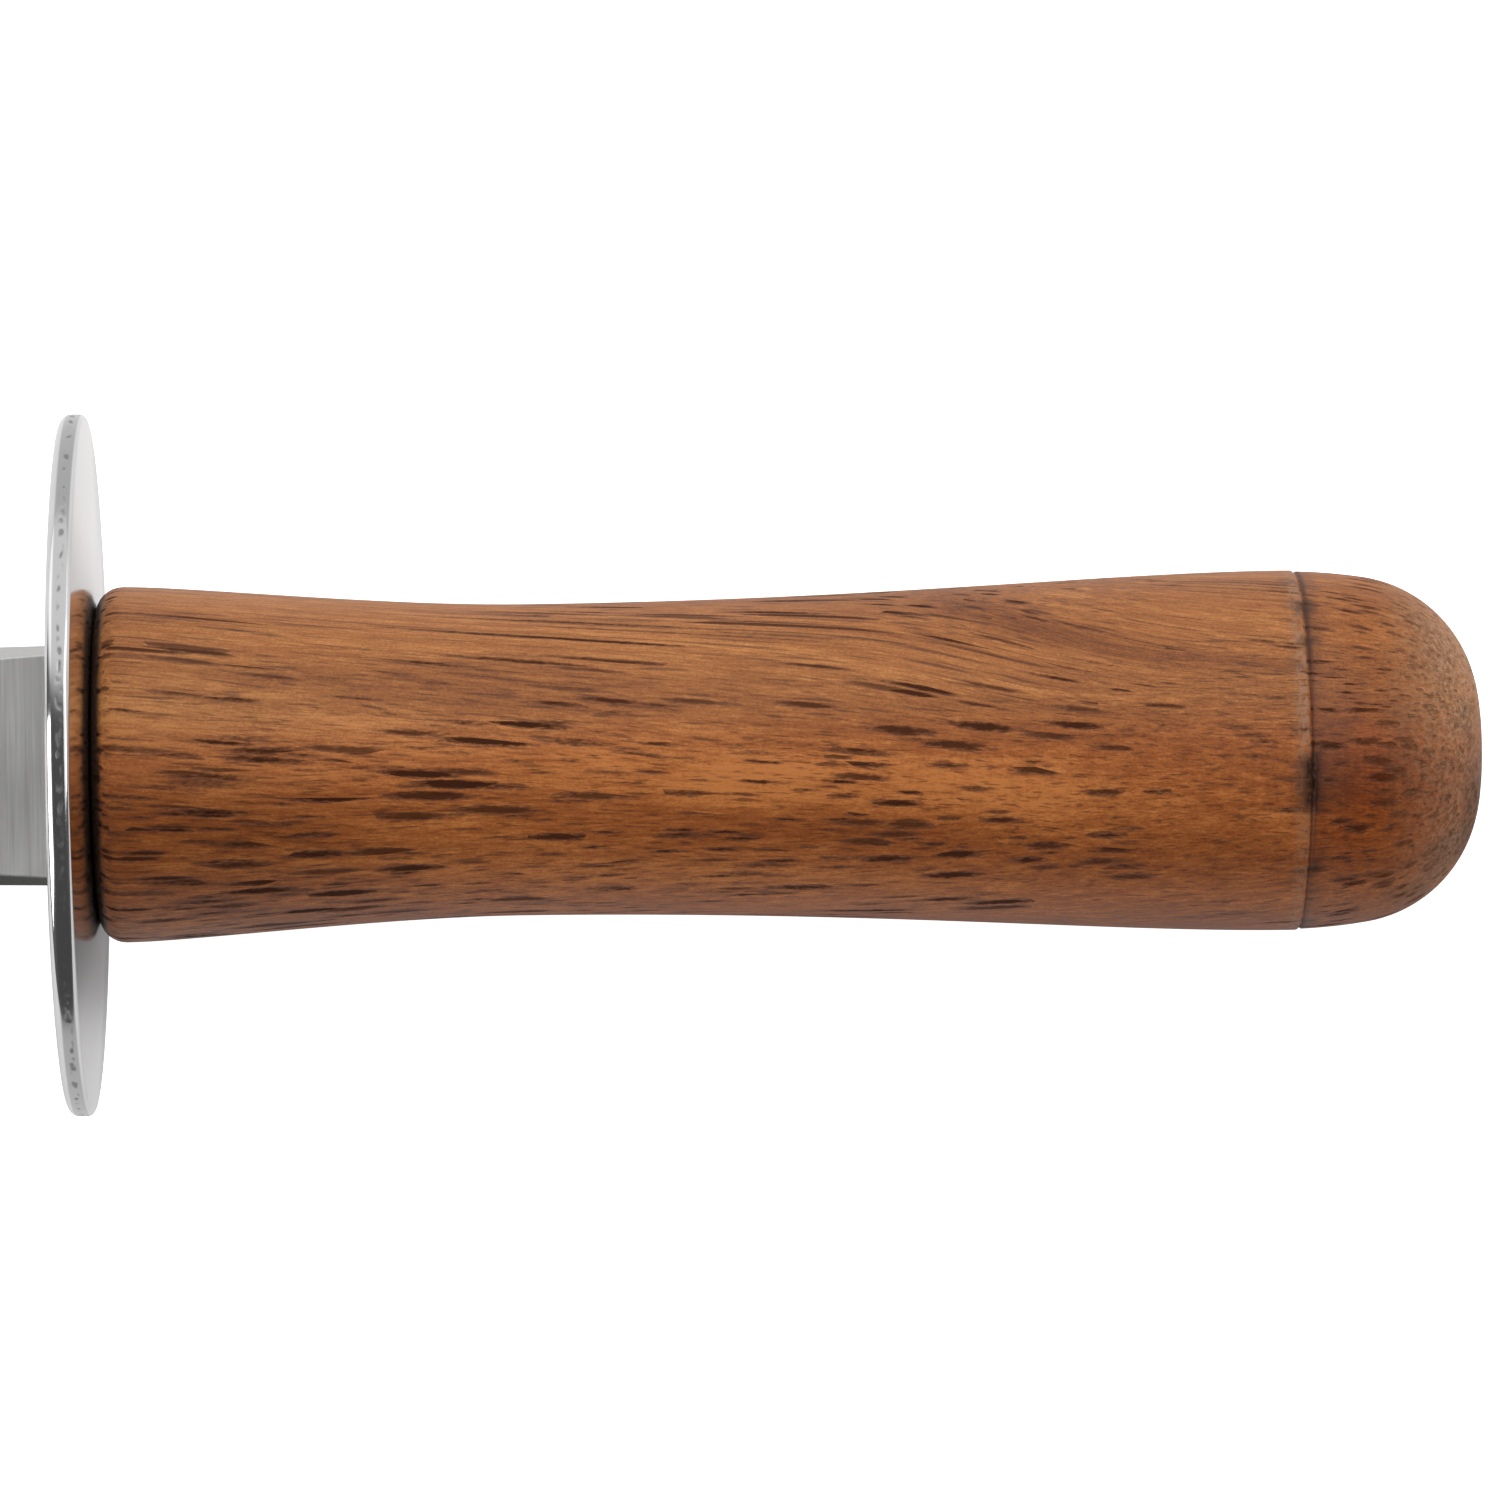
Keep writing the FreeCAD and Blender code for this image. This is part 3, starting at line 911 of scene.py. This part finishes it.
wood_relief = wood.weighted((fibres, 0.30), (hairs, 0.20), (speckle, 0.10), (pores, -1.0))
wood_gloss = wood.weighted((fibres, 0.20), (pores, 0.20))
wood_gloss = wood.math("ADD", wood_gloss, WOOD_ROUGHNESS)
wood_shine = wood.times(
    wood.soft_step(pores, 0, 1, 0.34, 0.10),
    wood.soft_step(place_x, 87, 95, 1.0, 0.45),
    wood.soft_step(smudge, 0, 1, 1.0, 0.15),
)
wood.bump(wood_relief, PORE_RELIEF, 0.7)
wood.surface(Specular_IOR_Level=PLAIN_SHINE)
wood.surface(Base_Color=wood_colour, Roughness=wood_gloss, Specular_IOR_Level=wood_shine)
wood.cover(handle)

# %% [markdown]
# ## Steel
#
# The guard is polished until it mirrors the handle, with faint scratches round it. Its rim is
# duller, and dark in the pits. The blade is ground across its length on a belt, which leaves fine
# parallel lines; its narrow bevels are ground finer, and their darker grey is painted shade. All of it
# is metal, so what it shows is mostly the light round it.

# %% Polished steel for the guard
LAND_START = 25.33
LAND_FULL = 25.385
LAND_GREY = (0.42, 0.42, 0.42, 1)
PIT_GREY = (0.12, 0.115, 0.11, 1)
GUARD_GREYS = [(0.30, (0.66, 0.66, 0.66, 1)), (0.70, (0.74, 0.74, 0.75, 1))]
RING_RELIEF = 0.000004

polish = Finish("polished_guard_steel")
spot = polish.knife_millimetres()
spot_parts = polish.split(spot)
across_squared = polish.math("POWER", spot_parts["Y"], 2.0)
up_squared = polish.math("POWER", spot_parts["Z"], 2.0)
from_axis = polish.math("SQRT", polish.math("ADD", across_squared, up_squared))
on_land = polish.soft_step(from_axis, LAND_START, LAND_FULL)
ring_place = polish.node("CombineXYZ", {"X": from_axis}).outputs[0]
rings = polish.noise(ring_place, (9.0, 1.0, 1.0), 3.0, 0.7)
clouds = polish.noise(spot, (0.12, 0.12, 0.12), 3.0, 0.55)
pit = polish.node("Attribute", {}, attribute_name="pit").outputs["Fac"]
cloud_gloss = polish.soft_step(clouds, 0.3, 0.7, 0.05, 0.12)
guard_gloss = polish.weighted((cloud_gloss, 1.0), (rings, 0.04), (on_land, 0.10), (pit, 0.30))
rim_tone = polish.blend(on_land, polish.ramp(clouds, GUARD_GREYS), LAND_GREY)
guard_colour = polish.blend(polish.soft_step(pit, 0.1, 0.8, 0.0, 0.6), rim_tone, PIT_GREY)
polish.bump(rings, RING_RELIEF, 0.5)
polish.surface(Base_Color=guard_colour, Metallic=1.0, Roughness=guard_gloss)
polish.cover(guard)

# %% Belt-ground steel for the blade
BLADE_GREYS = [
    (0.32, (0.52, 0.515, 0.50, 1)),
    (0.50, (0.62, 0.615, 0.60, 1)),
    (0.68, (0.74, 0.735, 0.72, 1)),
]
BEVEL_SHADE_GREY = (0.45, 0.445, 0.435, 1)
BELT_PULL = 0.65
BELT_RELIEF = 0.00001
FLAT_TOP = BLADE_THICKNESS / 2

ground = Finish("belt_ground_blade_steel")
spot = ground.knife_millimetres()
spot_parts = ground.split(spot)
scratches = ground.noise(spot, (9.0, 0.12, 1.5), 4.0, 0.7)
belt_streaks = ground.noise(spot, (1.6, 0.05, 0.4), 2.0, 0.5)
stains = ground.noise(spot, (0.11, 0.11, 0.11), 3.0, 0.5)
line_tone = ground.weighted((scratches, 0.55), (belt_streaks, 0.45))
flat_fall = ground.times(spot_parts["X"], FLAT_FALL / BLADE_LENGTH)
below_flat = ground.math("SUBTRACT", ground.math("ABSOLUTE", spot_parts["Z"]), flat_fall)
on_flat = ground.soft_step(below_flat, FLAT_TOP - 0.07, FLAT_TOP - 0.01)
stain_gloss = ground.soft_step(stains, 0.3, 0.7, 0.34, 0.42)
flat_gloss = ground.weighted((stain_gloss, 1.0), (scratches, 0.12))
blade_gloss = ground.times(flat_gloss, ground.soft_step(on_flat, 0, 1, 0.55, 1.0))
# Painted shade: the bevels get a darker grey than the flats.
blade_colour = ground.blend(on_flat, BEVEL_SHADE_GREY, ground.ramp(line_tone, BLADE_GREYS))
ground.bump(line_tone, BELT_RELIEF, 0.6)
lengthwise = ground.node("CombineXYZ", {"X": along.x, "Y": along.y, "Z": along.z}).outputs[0]
ground.surface(
    Base_Color=blade_colour,
    Metallic=1.0,
    Roughness=blade_gloss,
    Anisotropic=ground.times(on_flat, BELT_PULL),
    Tangent=lengthwise,
)
ground.cover(blade)

# %% [markdown]
# ## Glue
#
# The bedding can only be seen if the knife is taken apart. It is amber resin with a few cloudy
# patches and small bubbles, and its CAD solid is already the right shape, so it only needs a finish.

# %% Amber resin for the tang's bedding
RESIN_AMBERS = [(0.35, (0.20, 0.09, 0.02, 1)), (0.65, (0.36, 0.21, 0.07, 1))]
BUBBLE_RELIEF = 0.0001

resin = Finish("amber_bedding_resin")
spot = resin.knife_millimetres()
cloud = resin.noise(spot, (0.35, 0.35, 0.35), 3.0, 0.6)
bubbles = resin.noise(spot, (2.6, 2.6, 2.6), 1.0, 0.4)
resin_gloss = resin.soft_step(bubbles, 0.3, 0.7, 0.22, 0.42)
resin.bump(bubbles, BUBBLE_RELIEF, 0.5)
resin.surface(Base_Color=resin.ramp(cloud, RESIN_AMBERS), Roughness=resin_gloss)
resin.cover(frame["nodes"]["tang_bedding"])

# %% [markdown]
# ## Floor and light
#
# The floor is a plain white sheet, and the camera sees it as pure white. A strip of it beside the
# knife has a painted shadow, a greyer colour that the polished guard mirrors. Two soft lights stand at
# the ends of the knife and draw the fine bright lines along the rim's rounded corners. Overhead it
# stays dark, because the middle of the rim mirrors what is above it.

# %% The floor
FLOOR_SIZE = 40.0
PAPER_GLOW = 0.95
PAPER_GLOW_UNSEEN = 0.02
PAPER_WHITES = [(0.3, (0.90, 0.90, 0.90, 1)), (0.7, (0.92, 0.92, 0.92, 1))]

floor_mesh = bmesh.new()
bmesh.ops.create_grid(floor_mesh, x_segments=1, y_segments=1, size=FLOOR_SIZE / 2)
sheet = bpy.data.meshes.new("white_floor")
floor_mesh.to_mesh(sheet)
floor_mesh.free()
floor = bpy.data.objects.new("white_floor", sheet)
bpy.context.scene.collection.objects.link(floor)
floor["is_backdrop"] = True
paper = Finish("white_paper")
seen_directly = paper.node("LightPath", {}).outputs["Is Camera Ray"]
sheet_place = paper.node("TexCoord", {}).outputs["Object"]
# Painted shadow: the sheet is greyer in a strip along the knife's near side, which the guard mirrors.
painted_shadow_strip = paper.band(paper.split(sheet_place)["Y"], (-0.025, -0.013), (0, -0.01))
painted_shadow_grey = paper.soft_step(painted_shadow_strip, 0, 1, 1.0, 0.5)
white = paper.ramp(paper.noise(sheet_place, (40.0, 40.0, 40.0), 3.0, 0.6), PAPER_WHITES)
paper.surface(
    Base_Color=paper.blend(1.0, white, painted_shadow_grey, "MULTIPLY"),
    Roughness=0.9,
    Specular_IOR_Level=0.1,
    Emission_Color=(1, 1, 1, 1),
    Emission_Strength=paper.soft_step(seen_directly, 0, 1, PAPER_GLOW_UNSEEN, PAPER_GLOW),
)
paper.cover(floor)

# %% The lights
def soft_light(name, position, width, height, radiance):
    """A rectangular light that faces the middle of the knife, with a set brightness of its face."""
    data = bpy.data.lights.new(name, "AREA")
    data.shape = "RECTANGLE"
    data.size = width
    data.size_y = height
    data.energy = radiance * math.pi * width * height
    lamp = bpy.data.objects.new(name, data)
    lamp.location = position
    lamp.rotation_euler = Vector(position).to_track_quat("Z", "Y").to_euler()
    lamp.visible_camera = False
    bpy.context.scene.collection.objects.link(lamp)
    print(name, "gives", round(data.energy), "W")


soft_light("butt_light", (1.00, 0.32, 0.95), width=1.2, height=1.3, radiance=1.95)
soft_light("blade_light", (-1.06, -0.26, 0.76), width=1.1, height=1.0, radiance=3.1)

# %% [markdown]
# The room is white on the side at the top of the picture and dim elsewhere, so the handle is bright
# along its upper side. That could be a backdrop made of boards. A gradient in the world does the
# same without anything to get in a camera's way. The camera sees the room as white, like the floor.

# %% A room that is white on one side
WHITE_SIDE = 1.33
DIM_SIDE = 0.12
DIM_UNTIL = 0.30
WHITE_FROM = 0.55

world = bpy.data.worlds.new("half_white_room")
bpy.context.scene.world = world
world.use_nodes = True
nodes = world.node_tree.nodes
links = world.node_tree.links
direction = nodes.new("ShaderNodeSeparateXYZ")
gradient = nodes.new("ShaderNodeMapRange")
gradient.interpolation_type = "SMOOTHSTEP"
gradient.inputs["From Min"].default_value = DIM_UNTIL
gradient.inputs["From Max"].default_value = WHITE_FROM
gradient.inputs["To Min"].default_value = DIM_SIDE
gradient.inputs["To Max"].default_value = WHITE_SIDE
seen = nodes.new("ShaderNodeMix")
seen.inputs[3].default_value = 1.0
links.new(nodes.new("ShaderNodeTexCoord").outputs["Generated"], direction.inputs["Vector"])
links.new(direction.outputs["Y"], gradient.inputs["Value"])
links.new(gradient.outputs["Result"], seen.inputs[2])
links.new(nodes.new("ShaderNodeLightPath").outputs["Is Camera Ray"], seen.inputs[0])
links.new(seen.outputs[0], nodes["Background"].inputs["Strength"])
nodes["Background"].inputs["Color"].default_value = (1, 1, 1, 1)
bpy.context.scene.view_settings.view_transform = "Standard"
bpy.context.scene.view_settings.look = "None"
print("the room gives", WHITE_SIDE, "from the white side and", DIM_SIDE, "from the rest")

# %% [markdown]
# ## The camera
#
# The photograph looks straight down on the knife, square to its axis, from a little over half a
# metre. The blade runs out of the picture on the left. So the camera stands along the knife's own
# upward direction, aims at a point on the handle, and is rolled by less than a degree.

# %% Camera
CAMERA_FOOT = 33.5
CAMERA_HEIGHT = 590.7
AIM = Vector((47.17, 0.50, 0.0))
ROLL = 0.72
LENS = 195.5
SENSOR = 36.0

camera_data = bpy.data.cameras.new("photo_camera")
camera_data.lens = LENS
camera_data.sensor_width = SENSOR
camera_data.clip_start = 0.01
camera = bpy.data.objects.new("photo_camera", camera_data)
bpy.context.scene.collection.objects.link(camera)
eye = Vector((CAMERA_FOOT, 0, CAMERA_HEIGHT))
look = (AIM - eye).normalized()
picture_up = Matrix.Rotation(math.radians(-ROLL), 3, "Z") @ Vector((0, 1, 0))
picture_right = look.cross(picture_up).normalized()
picture_up = picture_right.cross(look)
pose = Matrix((picture_right, picture_up, -look)).transposed().to_4x4()
pose.translation = eye * MM
camera.matrix_world = knife @ pose
bpy.context.scene.camera = camera
print("the camera is at", [round(v, 3) for v in camera.matrix_world.translation])

# %% The finished knife's box, beside the CAD box
knife_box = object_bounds()
sizes = {
    "cad": [list(corner) for corner in cad_box],
    "visual": [list(corner) for corner in knife_box],
}
print("visual box in metres", [tuple(round(v, 4) for v in corner) for corner in knife_box])
